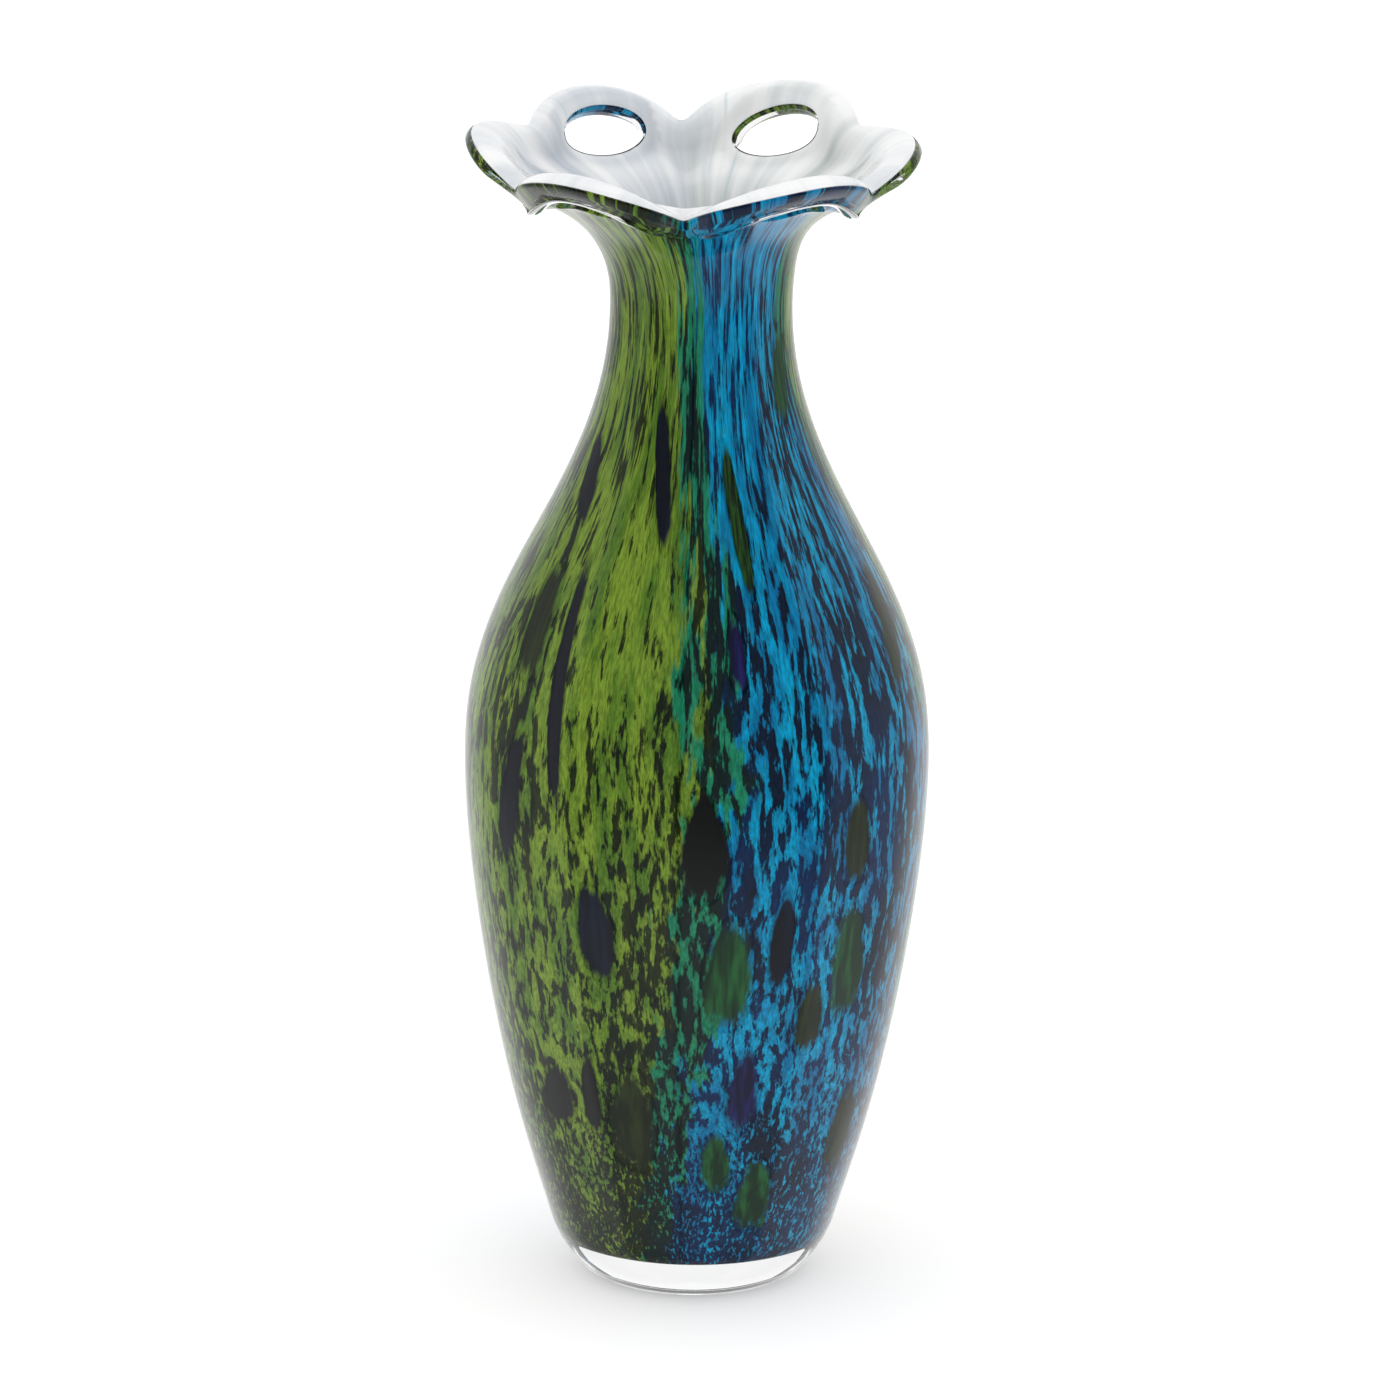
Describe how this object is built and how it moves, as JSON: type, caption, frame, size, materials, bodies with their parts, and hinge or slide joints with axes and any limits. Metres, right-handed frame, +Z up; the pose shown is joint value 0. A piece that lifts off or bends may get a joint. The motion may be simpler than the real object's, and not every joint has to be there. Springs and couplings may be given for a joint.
{
  "type": "art glass vase",
  "caption": "Tall hand blown cased glass vase with a narrow neck, a petal-shaped rim with pierced petals and a thick clear foot.",
  "frame": {"origin": "centre of the flat the vase stands on", "axes": "+Z up along the axis of the vase, -Y towards the front where two petals meet in a spout, +X to the right seen from the front"},
  "size_m": [0.1562, 0.1559, 0.4022],
  "materials": {
    "opal_glass": "fire polished opaque white",
    "green_glass": "mottled frit under clear glass",
    "blue_glass": "mottled frit under clear glass",
    "clear_glass": "fire polished clear",
    "navy_glass": "melted in",
    "black_glass": "melted in",
    "olive_glass": "melted in",
    "leaf_glass": "melted in",
    "violet_glass": "melted in",
    "speckled_glass": "speckled, melted in"
  },
  "bodies": {
    "root": {"opal_lining": "opal_glass", "green_overlay_front_left": "green_glass", "blue_overlay_front_right": "blue_glass", "green_overlay_back_right": "green_glass", "blue_overlay_back_left": "blue_glass", "clear_casing": "clear_glass", "navy_drop_neck": "navy_glass", "navy_drop_shoulder": "navy_glass", "navy_drop_long": "navy_glass", "navy_drop_flank": "navy_glass", "navy_drop_belly": "navy_glass", "navy_drop_belly_right": "navy_glass", "black_drop_belly": "black_glass", "black_drop_foot": "black_glass", "black_drop_foot_thin": "black_glass", "olive_drop_foot": "olive_glass", "olive_drop_flank": "olive_glass", "olive_drop_lower": "olive_glass", "olive_drop_foot_right": "olive_glass", "olive_drop_shoulder": "olive_glass", "green_drop_flank": "olive_glass", "green_drop_belly": "leaf_glass", "green_drop_flank_right": "leaf_glass", "green_drop_foot": "leaf_glass", "green_drop_foot_small": "leaf_glass", "green_drop_neck": "leaf_glass", "violet_drop_lower": "violet_glass", "violet_drop_shoulder": "violet_glass", "speckled_drop_neck": "speckled_glass"}
  },
  "joints": []
}
